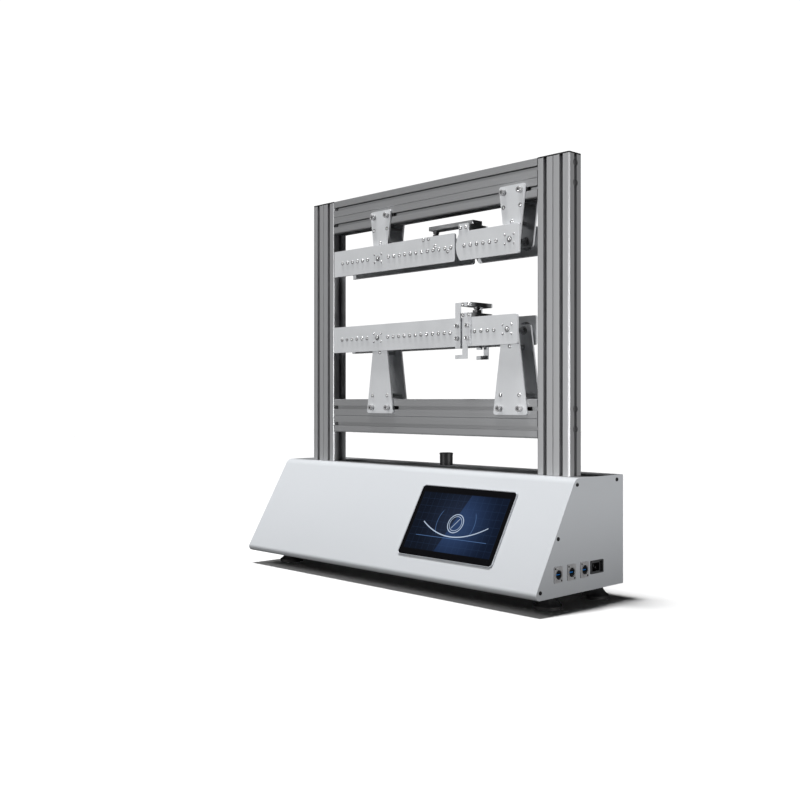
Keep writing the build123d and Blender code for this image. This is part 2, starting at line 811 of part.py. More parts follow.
def bracket_plates(pivot_x, pivot_z, rail_z, wide, way):
    bolt_z, end_z, tip_z, tie_z, single_tie_z = bracket_points(pivot_z, rail_z, wide, way)
    with BuildPart() as plates:
        with BuildSketch(front_plane(bracket_front, bracket_thickness)):
            with BuildLine():
                FilletPolyline(
                    (pivot_x - wide / 2, end_z),
                    (pivot_x + wide / 2, end_z),
                    (pivot_x + bracket_narrow_width / 2, tip_z),
                    (pivot_x - bracket_narrow_width / 2, tip_z),
                    radius=bracket_corner,
                    close=True,
                )
            make_face()
            with Locations((pivot_x, pivot_z)):
                Circle(bearing_outer_radius, mode=Mode.SUBTRACT)
            with Locations(*bracket_bolts(pivot_x, pivot_z, rail_z, wide, way)):
                Circle(bracket_bolt_radius + fastener_clearance, mode=Mode.SUBTRACT)
        extrude(amount=bracket_thickness)
        mirror(about=middle_plane)
    return plates.part


brackets = {
    "upper_left_bracket": (upper_left_pivot_x, upper_pivot_z, upper_rail_z, upper_bracket_width, -1),
    "upper_right_bracket": (upper_right_pivot_x, upper_pivot_z, upper_rail_z, upper_bracket_width, -1),
    "lower_left_bracket": (lower_left_pivot_x, lower_pivot_z, lower_rail_z, lower_bracket_width, 1),
    "lower_right_bracket": (lower_right_pivot_x, lower_pivot_z, lower_rail_z, lower_bracket_width, 1),
}
tie_xz = []
bolt_xz = []
for name, place in brackets.items():
    save(bracket_plates(*place), name)
    tie_xz += bracket_ties(*place)
    bolt_xz += bracket_bolts(*place)

# Bolts of the brackets and the nuts that they draw against the lips of the rail slots
bracket_bolt = cap_screw(
    bracket_bolt_head_radius,
    bracket_bolt_head_height,
    bracket_bolt_radius,
    bracket_thickness + slot_lip + bracket_nut_thickness + 1.5,
)
bracket_bolt_set = front_and_rear(
    bracket_bolt, [facing_front(x, bracket_front, z) for x, z in bolt_xz]
)
with BuildPart() as slot_nut:
    with BuildSketch():
        Rectangle(bracket_nut_length, bracket_nut_width)
        Circle(bracket_bolt_radius + fastener_clearance, mode=Mode.SUBTRACT)
    extrude(amount=-bracket_nut_thickness)
slot_nut_set = front_and_rear(
    slot_nut.part, [facing_front(x, frame_front + slot_lip, z) for x, z in bolt_xz]
)
save(together(bracket_bolt_set, slot_nut_set), "bracket_bolts")

# Tie spacers between the plates of each bracket, and the screw heads at both their ends
with BuildPart() as spacer:
    Cylinder(spacer_radius, profile_depth, align=HANG)
bracket_spacers = scatter(spacer.part, [facing_front(x, frame_front, z) for x, z in tie_xz])
small_head = button_head(small_head_radius, small_head_height)
tie_screws = front_and_rear(small_head, [facing_front(x, bracket_front, z) for x, z in tie_xz])
save(together(bracket_spacers, tie_screws), "bracket_spacers")

# Ball bearings, pressed into the narrow ends of the bracket plates
with BuildPart() as bearing:
    with BuildSketch(Plane.XZ):
        with Locations(((axle_radius + axle_clearance + bearing_outer_radius) / 2, -bracket_thickness / 2)):
            Rectangle(bearing_outer_radius - axle_radius - axle_clearance, bracket_thickness)
    revolve(axis=Axis.Z)
pivot_xz = [(place[0], place[1]) for place in brackets.values()]
save(
    front_and_rear(bearing.part, [facing_front(x, bracket_front, z) for x, z in pivot_xz]),
    "pivot_bearings",
)


# Axle of one lever: it turns in the bearings, and a flanged hub at each end joins it to the plates
def lever_axle(pivot_x, pivot_z):
    with BuildPart() as axle:
        with Locations(facing_front(pivot_x, lever_back, pivot_z)):
            Cylinder(axle_radius, 2 * (frame_y - lever_back), align=HANG)
    return axle.part


def lever_hubs(pivot_x, pivot_z):
    with BuildPart() as hub:
        Cylinder(flange_radius, flange_thickness, align=HANG)
        Cylinder(axle_radius + press_clearance, flange_thickness, align=HANG, mode=Mode.SUBTRACT)
        Cylinder(hub_radius, lever_thickness + hub_proud, align=MID)
    return front_and_rear(hub.part, [facing_front(pivot_x, lever_back, pivot_z)])


def lever_screws(pivot_x, pivot_z, row_steps, bar_heads):
    """Every screw head that rides on one lever: pivot screws, the rows, and those of the cross bar."""
    centre = button_head(small_head_radius, centre_screw_head_height)
    small = button_head(flange_screw_head_radius, flange_screw_head_height)
    head = button_head(small_head_radius, small_head_height)
    with BuildPart() as screws:
        with Locations(facing_front(pivot_x, lever_front - hub_proud, pivot_z)):
            add(centre)
        with Locations(facing_front(pivot_x, lever_front, pivot_z)):
            with GridLocations(2 * flange_screw_dx, 2 * flange_screw_dz, 2, 2):
                add(small)
        with Locations(*[facing_front(pivot_x + step, lever_front, pivot_z) for step in row_steps]):
            add(head)
        with Locations(*[facing_front(*place) for place in bar_heads]):
            add(head)
        mirror(about=middle_plane)
    return screws.part


def row(first, count, way):
    return [way * (first + row_pitch * i) for i in range(count)]


def hub_hole(pivot_x, pivot_z):
    """The hole that the hub's pilot fills, cut in the sketch that is open."""
    with Locations((pivot_x, pivot_z)):
        Circle(hub_radius + press_clearance, mode=Mode.SUBTRACT)


def bar_screw_xz(x, z):
    return [(x - bar_screw_pitch / 2, z), (x + bar_screw_pitch / 2, z)]


def cross_bar(x, top, height, y_front):
    """A bar across the lever, from the front plates to the rear ones."""
    with BuildPart() as bar:
        with BuildSketch(Plane.XZ.offset(-y_front)):
            with Locations((x, top - height / 2)):
                Rectangle(bar_width, height)
        extrude(amount=-2 * (frame_y - y_front))
        chamfer(bar.edges().filter_by(Axis.Y), length=bar_chamfer)
    return bar.part


half_lever = lever_height / 2

# Upper left lever: a long straight pair of plates, square at the outer end
upper_left_bar_top = upper_pivot_z + half_lever
upper_left_bar_screws = bar_screw_xz(upper_left_bar_x, upper_left_bar_top - bar_height / 2)
with BuildPart() as upper_left_lever:
    with BuildSketch(front_plane(lever_front, lever_thickness)):
        with BuildLine():
            left, right = upper_left_ends
            FilletPolyline(
                (left, upper_pivot_z - half_lever),
                (right, upper_pivot_z - half_lever),
                (right, upper_pivot_z + half_lever),
                (left, upper_pivot_z + half_lever),
                radius=[0.5, lever_corner, lever_corner, 0.5],
                close=True,
            )
        make_face()
        hub_hole(upper_left_pivot_x, upper_pivot_z)
    extrude(amount=lever_thickness)
    mirror(about=middle_plane)
save(upper_left_lever.part, "upper_left_lever")
save(together(lever_axle(upper_left_pivot_x, upper_pivot_z), lever_hubs(upper_left_pivot_x, upper_pivot_z)), "upper_left_axle")
save(
    lever_screws(
        upper_left_pivot_x,
        upper_pivot_z,
        row(row_start, 6, -1) + row(row_start, 12, 1),
        [(x, lever_front, z) for x, z in upper_left_bar_screws],
    ),
    "upper_left_screws",
)
save(cross_bar(upper_left_bar_x, upper_left_bar_top, bar_height, lever_back), "upper_left_cross_bar")

# Upper right lever: short plates whose inner end is a bowed arc, with an ear for the cross bar
upper_right_bar_top = upper_pivot_z + half_lever + ear_height
upper_right_bar_screws = bar_screw_xz(upper_right_bar_x, upper_right_bar_top - ear_height / 2)
with BuildPart() as upper_right_lever:
    with BuildSketch(front_plane(lever_front, lever_thickness)):
        left, right = upper_right_ends
        low = upper_pivot_z - half_lever
        high = upper_pivot_z + half_lever
        with BuildLine():
            bow = ThreePointArc(
                (left + upper_right_nose_sagitta, high),
                (left, upper_pivot_z),
                (left + upper_right_nose_sagitta, low),
            )
            FilletPolyline(bow @ 1, (right, low), (right, high), bow @ 0, radius=lever_corner)
        make_face()
        with Locations((upper_right_bar_x, high)):
            Rectangle(bar_width, 2 * ear_height)
        hub_hole(upper_right_pivot_x, upper_pivot_z)
    extrude(amount=lever_thickness)
    mirror(about=middle_plane)
save(upper_right_lever.part, "upper_right_lever")
save(together(lever_axle(upper_right_pivot_x, upper_pivot_z), lever_hubs(upper_right_pivot_x, upper_pivot_z)), "upper_right_axle")
save(
    lever_screws(
        upper_right_pivot_x,
        upper_pivot_z,
        row(row_start, 6, -1),
        [(x, lever_front, z) for x, z in upper_right_bar_screws],
    ),
    "upper_right_screws",
)
save(cross_bar(upper_right_bar_x, upper_right_bar_top, ear_height, lever_back), "upper_right_cross_bar")

# Pressing arm on the upper right cross bar, reaching over the upper left lever to its nose
arm_right = upper_right_bar_x + bar_width / 2
with BuildPart() as pressing_arm:
    with BuildSketch(Plane.XY.offset(upper_right_bar_top)):
        with Locations(((arm_left_x + arm_right) / 2, frame_y)):
            RectangleRounded(arm_right - arm_left_x, arm_width, 1.5)
    extrude(amount=arm_thickness)
save(pressing_arm.part, "pressing_arm")


def contact_nose(x, top, height):
    """A block whose lower edge is rounded, so that it rolls on its pad."""
    with BuildPart() as nose:
        with BuildSketch(front_plane(frame_y - pad_width / 2, pad_width)):
            with BuildLine():
                half = pad_width / 2
                Line((x - half, top), (x + half, top))
                Line((x + half, top), (x + half, top - height + 2.5))
                ThreePointArc(
                    (x + half, top - height + 2.5), (x, top - height), (x - half, top - height + 2.5)
                )
                Line((x - half, top - height + 2.5), (x - half, top))
            make_face()
        extrude(amount=pad_width)
    return nose.part


def contact_pad(x, bottom, top, width):
    """The hardened pad that a nose bears on."""
    with BuildPart() as pad:
        with BuildSketch(Plane.XY.offset(bottom)):
            with Locations((x, frame_y)):
                Rectangle(width, width)
        extrude(amount=top - bottom)
    return pad.part


save(contact_nose(upper_left_bar_x, upper_right_bar_top, upper_nose_height), "upper_nose")
save(
    contact_pad(
        upper_left_bar_x,
        upper_left_bar_top,
        upper_right_bar_top - upper_nose_height - contact_gap,
        pad_width,
    ),
    "upper_pad",
)

# Lower left lever: long straight plates, with straps that rise from the inner end
strap_left = lower_left_ends[1] + 0.5 - strap_width
strap_right = lower_left_ends[1] + 0.5
arm_end = lower_bar_x + bar_width / 2
strap_front = lever_front - strap_thickness
strap_screws = [(strap_screw_x, lower_pivot_z + dz) for dz in (-plate_screw_dz, plate_screw_dz)]
lower_left_bar_screws = bar_screw_xz(lower_bar_x, strap_top - bar_height / 2)
with BuildPart() as lower_left_lever:
    with BuildSketch(front_plane(lever_front, lever_thickness)):
        left, right = lower_left_ends
        with Locations(((left + right) / 2, lower_pivot_z)):
            Rectangle(right - left, lever_height)
        hub_hole(lower_left_pivot_x, lower_pivot_z)
        with Locations(*strap_screws):
            Circle(plate_screw_radius + fastener_clearance, mode=Mode.SUBTRACT)
    extrude(amount=lever_thickness)
    mirror(about=middle_plane)
save(lower_left_lever.part, "lower_left_lever")
save(together(lever_axle(lower_left_pivot_x, lower_pivot_z), lever_hubs(lower_left_pivot_x, lower_pivot_z)), "lower_left_axle")
save(
    lever_screws(
        lower_left_pivot_x,
        lower_pivot_z,
        row(row_start, 6, -1) + row(row_start, 12, 1),
        [(x, strap_front, z) for x, z in lower_left_bar_screws],
    ),
    "lower_left_screws",
)

# Straps: upright plates on the lever's outer faces, turned over at the top to hold the cross bar
with BuildPart() as lower_straps:
    with BuildSketch(front_plane(strap_front, strap_thickness)):
        with BuildLine():
            Polyline(
                (strap_left, strap_bottom),
                (strap_right, strap_bottom),
                (strap_right, strap_top - bar_height),
                (arm_end, strap_top - bar_height),
                (arm_end, strap_top),
                (strap_left, strap_top),
                close=True,
            )
        make_face()
        with Locations(*strap_screws):
            Circle(plate_screw_radius + fastener_clearance, mode=Mode.SUBTRACT)
    extrude(amount=strap_thickness)
    mirror(about=middle_plane)
save(lower_straps.part, "lower_straps")
save(
    cross_bar(lower_bar_x, strap_top, bar_height, lever_front),
    "lower_left_cross_bar",
)
lower_nose_top = strap_top - bar_height
save(contact_nose(lower_bar_x, lower_nose_top, lower_nose_height), "lower_nose")

# Lower right lever: short straight plates that carry the hooks
hook_left = hook_leg_left
hook_right = lower_bar_x + bar_width / 2
hook_screws = [(hook_screw_x, lower_pivot_z + dz) for dz in (-plate_screw_dz, plate_screw_dz)]
lower_right_bar_screws = bar_screw_xz(lower_bar_x, hook_top - bar_height / 2)
with BuildPart() as lower_right_lever:
    with BuildSketch(front_plane(lever_front, lever_thickness)):
        left, right = lower_right_ends
        low = lower_pivot_z - half_lever
        high = lower_pivot_z + half_lever
        with BuildLine():
            FilletPolyline(
                (left, low),
                (right, low),
                (right, high),
                (left, high),
                radius=[0.5, lever_corner, lever_corner, 0.5],
                close=True,
            )
        make_face()
        hub_hole(lower_right_pivot_x, lower_pivot_z)
        with Locations(*hook_screws):
            Circle(plate_screw_radius + fastener_clearance, mode=Mode.SUBTRACT)
    extrude(amount=lever_thickness)
    mirror(about=middle_plane)
save(lower_right_lever.part, "lower_right_lever")
save(together(lever_axle(lower_right_pivot_x, lower_pivot_z), lever_hubs(lower_right_pivot_x, lower_pivot_z)), "lower_right_axle")
save(
    lever_screws(
        lower_right_pivot_x,
        lower_pivot_z,
        row(row_start, 4, -1),
        [(x, strap_front, z) for x, z in lower_right_bar_screws],
    ),
    "lower_right_screws",
)

# Hooks: plates on the outer faces whose leg drops below the lever and turns under the straps
with BuildPart() as lower_hooks:
    with BuildSketch(front_plane(strap_front, strap_thickness)):
        with BuildLine():
            Polyline(
                (hook_foot_left, hook_bottom),
                (hook_leg_left + hook_leg_width, hook_bottom),
                (hook_leg_left + hook_leg_width, lower_pivot_z - half_lever + 4),
                (hook_right, lower_pivot_z - half_lever + 4),
                (hook_right, hook_top),
                (hook_left, hook_top),
                (hook_left, hook_bottom + hook_foot_height),
                (hook_foot_left, hook_bottom + hook_foot_height),
                close=True,
            )
        make_face()
        with Locations(*hook_screws):
            Circle(plate_screw_radius + fastener_clearance, mode=Mode.SUBTRACT)
    extrude(amount=strap_thickness)
    mirror(about=middle_plane)
save(lower_hooks.part, "lower_hooks")
save(
    cross_bar(lower_bar_x, hook_top, bar_height, lever_front),
    "lower_right_cross_bar",
)
save(
    contact_pad(lower_bar_x, hook_top, lower_nose_top - lower_nose_height - contact_gap, lower_anvil_width),
    "lower_pad",
)

# Socket screws that hold the straps and the hooks on their levers
plate_screw = cap_screw(
    plate_screw_head_radius,
    plate_screw_head_height,
    plate_screw_radius,
    strap_thickness + lever_thickness,
)
for name, places in (("strap_screws", strap_screws), ("hook_screws", hook_screws)):
    save(front_and_rear(plate_screw, [facing_front(x, strap_front, z) for x, z in places]), name)

# Power supply and control board on the floor of the base
with BuildPart() as power_supply:
    with Locations((supply_place[0], supply_place[1], floor_top)):
        Box(*supply_size, align=MID)
save(power_supply.part, "power_supply")

board_x, board_y = board_place
with BuildPart() as control_board:
    with Locations((board_x, board_y, floor_top + standoff_height)):
        Box(*board_size, align=MID)
with BuildPart() as board_standoffs:
    with Locations((board_x, board_y, floor_top)):
        with GridLocations(board_size[0] - 12, board_size[1] - 12, 2, 2):
            Cylinder(standoff_radius, standoff_height, align=MID)
save(together(control_board.part, board_standoffs.part), "control_board")
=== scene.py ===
from math import cos, pi, radians, sin

import bmesh
import bpy
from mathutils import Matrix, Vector


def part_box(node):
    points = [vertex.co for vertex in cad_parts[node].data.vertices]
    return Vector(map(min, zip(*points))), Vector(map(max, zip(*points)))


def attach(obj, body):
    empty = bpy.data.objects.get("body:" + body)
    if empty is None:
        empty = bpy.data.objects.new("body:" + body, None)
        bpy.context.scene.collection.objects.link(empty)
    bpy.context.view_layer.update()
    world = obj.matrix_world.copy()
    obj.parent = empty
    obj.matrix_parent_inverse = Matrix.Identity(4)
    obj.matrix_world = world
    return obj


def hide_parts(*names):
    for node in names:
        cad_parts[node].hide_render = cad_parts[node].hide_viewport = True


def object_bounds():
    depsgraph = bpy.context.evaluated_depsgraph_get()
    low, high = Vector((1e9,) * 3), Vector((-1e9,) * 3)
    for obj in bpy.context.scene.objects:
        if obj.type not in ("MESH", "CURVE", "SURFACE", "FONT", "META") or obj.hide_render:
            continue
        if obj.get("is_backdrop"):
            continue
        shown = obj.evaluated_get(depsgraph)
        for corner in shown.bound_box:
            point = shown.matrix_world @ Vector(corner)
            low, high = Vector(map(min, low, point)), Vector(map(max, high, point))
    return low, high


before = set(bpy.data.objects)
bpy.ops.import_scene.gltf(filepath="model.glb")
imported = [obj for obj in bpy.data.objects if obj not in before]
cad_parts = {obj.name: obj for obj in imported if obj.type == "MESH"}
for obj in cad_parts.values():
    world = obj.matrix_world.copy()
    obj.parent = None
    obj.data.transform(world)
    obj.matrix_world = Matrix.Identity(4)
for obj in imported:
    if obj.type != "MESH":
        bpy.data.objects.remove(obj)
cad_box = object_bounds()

# The viewpoint stands off the front right corner of the bench, level with the lower part of the
# frame. The long lens keeps both columns upright, and the horizon lies halfway up the picture.
eye = Vector((1.61876, -1.61269, 0.40306))
look = Vector((-0.7206, 0.6934, 0.0))
lens_length, sensor_width = 45.59, 36.0
camera_data = bpy.data.cameras.new("viewpoint")
camera_data.lens, camera_data.sensor_width = lens_length, sensor_width
camera = bpy.data.objects.new("viewpoint", camera_data)
camera.location = eye
camera.rotation_euler = look.to_track_quat("-Z", "Y").to_euler()
bpy.context.scene.collection.objects.link(camera)
bpy.context.scene.camera = camera


# The studio: a wide pale floor and a far white backdrop, neither of which is part of the object.
# The backdrop is seen by the camera alone, so that the lights decide how the object is lit.
class Wire:
    """One output of a material's nodes. Arithmetic on it adds Math nodes."""

    def __init__(self, tree, socket):
        self.tree, self.socket = tree, socket

    def make(self, kind, settings, sockets, output=0):
        """Any node: its settings first, then the values or links of its sockets."""
        node = self.tree.nodes.new(kind)
        for name, value in settings.items():
            setattr(node, name, value)
        for name, value in sockets.items():
            if isinstance(value, Wire):
                self.tree.links.new(value.socket, node.inputs[name])
            else:
                node.inputs[name].default_value = value
        return Wire(self.tree, node.outputs[output])

    def math(self, operation, first, second=0.0):
        return self.make("ShaderNodeMath", {"operation": operation}, {0: first, 1: second})

    def __add__(self, other):
        return self.math("ADD", self, other)

    def __sub__(self, other):
        return self.math("SUBTRACT", self, other)

    def __rsub__(self, other):
        return self.math("SUBTRACT", other, self)

    def __mul__(self, other):
        return self.math("MULTIPLY", self, other)

    def __abs__(self):
        return self.math("ABSOLUTE", self)

    __radd__ = __add__
    __rmul__ = __mul__

    def root(self):
        return self.math("SQRT", self)

    def most(self, other):
        return self.math("MAXIMUM", self, other)

    def folded(self, span):
        """This value sent to and fro between 0 and span."""
        return self.math("PINGPONG", self, span)

    def ramp(self, low, high, to_low=0.0, to_high=1.0):
        """This value carried smoothly from low..high to to_low..to_high, and no further."""
        return self.make(
            "ShaderNodeMapRange",
            {"interpolation_type": "SMOOTHSTEP"},
            {"Value": self, "From Min": low, "From Max": high, "To Min": to_low, "To Max": to_high},
        )

    def noise(self, scale, detail=3.0, stretch=(1.0, 1.0, 1.0)):
        """Noise on these coordinates, its grains drawn out along an axis by a small stretch."""
        place = self.make("ShaderNodeMapping", {}, {"Vector": self, "Scale": stretch})
        return self.make(
            "ShaderNodeTexNoise", {}, {"Vector": place, "Scale": scale, "Detail": detail}
        )

    def blend(self, first, second):
        """A colour between two others, with this value as the share of the second."""
        return self.make(
            "ShaderNodeMix", {"data_type": "RGBA"}, {0: self, 6: first, 7: second}, output=2
        )


def colour(red, green, blue):
    return (red, green, blue, 1.0)


def finish_of(name, **constants):
    """A new material, its shader with the constant sockets set, and the object's coordinates."""
    material = bpy.data.materials.new(name)
    material.use_nodes = True
    shader = material.node_tree.nodes["Principled BSDF"]
    for socket, value in constants.items():
        shader.inputs[socket.replace("_", " ")].default_value = value
    place = material.node_tree.nodes.new("ShaderNodeTexCoord").outputs["Object"]
    return material, shader, Wire(material.node_tree, place)


def feed(shader, **wires):
    """Link each wire to the shader's socket of that name."""
    for socket, wire in wires.items():
        wire.tree.links.new(wire.socket, shader.inputs[socket.replace("_", " ")])


floor_half, floor_patch = 9.0, 0.4
floor_mesh = bpy.data.meshes.new("studio_floor")
floor_corners = [
    (floor_half * x, floor_half * y, 0.0) for x, y in ((-1, -1), (1, -1), (1, 1), (-1, 1))
]
floor_mesh.from_pydata(floor_corners, [], [(0, 1, 2, 3)])
floor = bpy.data.objects.new("studio_floor", floor_mesh)
bpy.context.scene.collection.objects.link(floor)
floor_finish, floor_shader, floor_place = finish_of(
    "pale_floor", Roughness=0.9, Specular_IOR_Level=0.0
)
floor_tone = floor_place.noise(floor_patch)
feed(floor_shader, Base_Color=floor_tone.blend(colour(0.92, 0.92, 0.92), colour(0.94, 0.94, 0.94)))
floor_mesh.materials.append(floor_finish)
floor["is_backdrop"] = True

backdrop_radius, backdrop_glow = 12.0, 1.05
backdrop_mesh = bpy.data.meshes.new("studio_backdrop")
backdrop_bm = bmesh.new()
bmesh.ops.create_uvsphere(backdrop_bm, u_segments=32, v_segments=16, radius=backdrop_radius)
bmesh.ops.reverse_faces(backdrop_bm, faces=backdrop_bm.faces)
backdrop_bm.to_mesh(backdrop_mesh)
backdrop_bm.free()
backdrop = bpy.data.objects.new("studio_backdrop", backdrop_mesh)
bpy.context.scene.collection.objects.link(backdrop)
backdrop_finish = finish_of(
    "white_backdrop",
    Roughness=1.0,
    Base_Color=colour(0.0, 0.0, 0.0),
    Emission_Color=colour(1.0, 1.0, 1.0),
    Emission_Strength=backdrop_glow,
)[0]
backdrop_mesh.materials.append(backdrop_finish)
for ray in ("diffuse", "glossy", "transmission", "shadow", "volume_scatter"):
    setattr(backdrop, "visible_" + ray, False)
backdrop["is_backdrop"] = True

# Soft studio light: a broad one overhead, level ones from the front and the right, and a panel at
# the left that lifts the front faces. The floor sends no light back, so that undersides stay dark.
air_glow = 0.015
sun_lights = (
    ("overhead_light", (-0.12, -0.12, 1.0), 9.0, 3.5),
    ("front_light", (-0.2, -1.0, 0.0), 3.0, 1.5),
    ("right_light", (1.0, 0.0, 0.0), 3.0, 2.05),
)
panel_width, panel_height, panel_power = 3.0, 2.0, 60.0
panel_place = Vector((-3.2, -3.0, 3.0))
panel_aim = Vector((0.0, 0.0, 0.45))
for ray in ("diffuse", "glossy"):
    setattr(floor, "visible_" + ray, False)
world = bpy.data.worlds.new("studio_air")
world.use_nodes = True
air = world.node_tree.nodes["Background"]
air.inputs["Color"].default_value = colour(0.97, 0.985, 1.0)
air.inputs["Strength"].default_value = air_glow
bpy.context.scene.world = world
bpy.context.scene.view_settings.view_transform = "Standard"
for name, source, spread, power in sun_lights:
    light_data = bpy.data.lights.new(name, "SUN")
    light_data.angle, light_data.energy = radians(spread), power
    light = bpy.data.objects.new(name, light_data)
    light.rotation_euler = (-Vector(source)).to_track_quat("-Z", "Y").to_euler()
    bpy.context.scene.collection.objects.link(light)
panel_data = bpy.data.lights.new("left_panel", "AREA")
panel_data.shape = "RECTANGLE"
panel_data.size, panel_data.size_y, panel_data.energy = panel_width, panel_height, panel_power
panel_light = bpy.data.objects.new("left_panel", panel_data)
panel_light.location = panel_place
panel_light.rotation_euler = (panel_aim - panel_place).to_track_quat("-Z", "Y").to_euler()
panel_light.visible_camera = panel_light.visible_glossy = False
bpy.context.scene.collection.objects.link(panel_light)


# The base housing is folded from steel sheet and powder coated in a cool white. The coat has a very
# fine orange peel, and its roughness drifts a little from place to place, as sprayed coats do.
def relief(height, distance):
    """The normal of a surface raised by height times distance, in metres."""
    sockets = {"Height": height, "Distance": distance, "Strength": 1.0}
    return height.make("ShaderNodeBump", {}, sockets)


def coat(material, *names):
    """Give CAD nodes their finish."""
    for name in names:
        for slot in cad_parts[name].material_slots:
            slot.material = material


def powder_coat(name, pale, dark, roughness, peel):
    """Powder coat between two near tones, with an orange peel of that depth in metres."""
    drift_scale, patch_scale, peel_scale = 5.0, 60.0, 1300.0
    material, shader, place = finish_of(name, Metallic=0.0)
    patch = place.noise(patch_scale)
    feed(
        shader,
        Base_Color=place.noise(drift_scale, detail=2.0).blend(dark, pale),
        Roughness=patch.ramp(0.3, 0.7, roughness - 0.04, roughness + 0.05),
        Normal=relief(place.noise(peel_scale, detail=1.0), peel),
    )
    return material


def merged(node):
    """A smooth bmesh copy of a CAD node, its loose triangles joined along their edges."""
    joining_distance = 0.000002
    copy = bmesh.new()
    copy.from_mesh(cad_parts[node].data)
    bmesh.ops.remove_doubles(copy, verts=copy.verts, dist=joining_distance)
    for face in copy.faces:
        face.smooth = True
    return copy


def piece_from(bm, name, material, body, crease=35.0):
    """A finished mesh piece, its smooth faces parted at its creases, riding on a body."""
    for edge in bm.edges:
        rounded = all(face.smooth for face in edge.link_faces)
        edge.smooth = rounded and edge.calc_face_angle(0.0) < radians(crease)
    mesh = bpy.data.meshes.new(name)
    bm.to_mesh(mesh)
    bm.free()
    mesh.materials.clear()
    mesh.materials.append(material)
    piece = bpy.data.objects.new(name, mesh)
    bpy.context.scene.collection.objects.link(piece)
    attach(piece, body)
    return piece


def eased(node, width, material, body):
    """A CAD plate again, its sharp edges broken by that width so that they catch the light.

    Its flat faces stay flat shaded. It replaces the plate."""
    flat_angle, sharp_angle, narrowest_flat = radians(0.5), radians(40.0), 0.0035
    bm = merged(node)
    bmesh.ops.dissolve_limit(bm, angle_limit=flat_angle, verts=bm.verts, edges=bm.edges)
    sharp = [
        edge
        for edge in bm.edges
        if len(edge.link_faces) == 2 and edge.calc_face_angle(0.0) > sharp_angle
    ]
    bmesh.ops.bevel(
        bm, geom=sharp, offset=width, segments=2, profile=0.5, affect="EDGES", clamp_overlap=True
    )
    for face in bm.faces:
        narrow = min(edge.calc_length() for edge in face.edges) < narrowest_flat
        face.smooth = len(face.verts) == 4 and narrow
    bmesh.ops.triangulate(bm, faces=[face for face in bm.faces if len(face.verts) > 4])
    piece = piece_from(bm, node + "_eased", material, body, crease=50.0)
    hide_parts(node)
    return piece


panel_edge = 0.0006
white_coat = powder_coat(
    "white_powder_coat",
    colour(0.60, 0.62, 0.645),
    colour(0.585, 0.605, 0.63),
    roughness=0.42,
    peel=0.00003,
)
coat(white_coat, "front_sheet")
for side_panel in ("left_side_panel", "right_side_panel"):
    eased(side_panel, panel_edge, white_coat, "base")

# The rear cover is one bent steel sheet, top and back, powder coated in a dark grey with a coarser
# grain than the front sheet has.
grey_coat = powder_coat(
    "grey_powder_coat",
    colour(0.285, 0.291, 0.300),
    colour(0.255, 0.261, 0.270),
    roughness=0.5,
    peel=0.00008,
)
coat(grey_coat, "rear_cover")


# Behind the sheets lie a zinc plated floor plate and power supply case, and the milled aluminium
# blocks and shoes that the panels and the columns are screwed to. They hardly show.
def rolled_metal(name, pale, dark, roughness, metallic, stretch):
    """Metal with fine lines along the way it was drawn, milled or rolled."""
    line_scale, cloud_scale, line_depth = 700.0, 18.0, 0.00001
    material, shader, place = finish_of(name, Metallic=metallic)
    lines = place.noise(line_scale, detail=4.0, stretch=stretch)
    cloud = place.noise(cloud_scale, detail=2.0)
    feed(
        shader,
        Base_Color=(lines * 0.6 + cloud * 0.4).ramp(0.3, 0.7).blend(dark, pale),
        Roughness=(lines * 0.5 + cloud * 0.5).ramp(0.3, 0.7, roughness - 0.07, roughness + 0.08),
        Normal=relief(lines, line_depth),
    )
    return material


zinc = rolled_metal(
    "zinc_plated_sheet",
    colour(0.52, 0.53, 0.53),
    colour(0.40, 0.41, 0.42),
    roughness=0.38,
    metallic=0.9,
    stretch=(1.0, 0.05, 1.0),
)
coat(zinc, "base_floor", "power_supply")
milled = rolled_metal(
    "milled_aluminium",
    colour(0.62, 0.63, 0.64),
    colour(0.52, 0.53, 0.54),
    roughness=0.34,
    metallic=0.85,
    stretch=(0.06, 1.0, 1.0),
)
coat(milled, "corner_blocks", "column_shoes")

# Four bell-shaped feet of black rubber, moulded with a recess for their screws. Rubber that stands
# on a bench gathers a little pale dust on its flanks.
dust_scale, skin_scale, skin_depth = 90.0, 900.0, 0.00004
rubber, rubber_shader, rubber_place = finish_of("black_rubber", Metallic=0.0)
dust = rubber_place.noise(dust_scale, detail=6.0).ramp(0.45, 0.75)
feed(
    rubber_shader,
    Base_Color=dust.blend(colour(0.010, 0.010, 0.011), colour(0.026, 0.026, 0.027)),
    Roughness=dust.ramp(0.0, 1.0, 0.62, 0.8),
    Normal=relief(rubber_place.noise(skin_scale), skin_depth),
)
coat(rubber, "rubber_feet")


# Turned steel screws. Each head is a low dome with a rounded shoulder and a six-sided socket, made
# once and set on every seat, each turned at random about its own axis as a fitter leaves them.
def turned_steel(name, pale, dark, roughness, metallic=1.0):
    """Steel off the lathe, with a very fine grain and faint smears from handling."""
    grain_scale, smear_scale, grain_depth = 2600.0, 240.0, 0.000004
    material, shader, place = finish_of(name, Metallic=metallic)
    grain = place.noise(grain_scale, detail=3.0)
    smear = place.noise(smear_scale, detail=2.0)
    feed(
        shader,
        Base_Color=smear.ramp(0.35, 0.7).blend(pale, dark),
        Roughness=(grain * 0.5 + smear * 0.5).ramp(0.3, 0.7, roughness - 0.06, roughness + 0.10),
        Normal=relief(grain, grain_depth),
    )
    return material


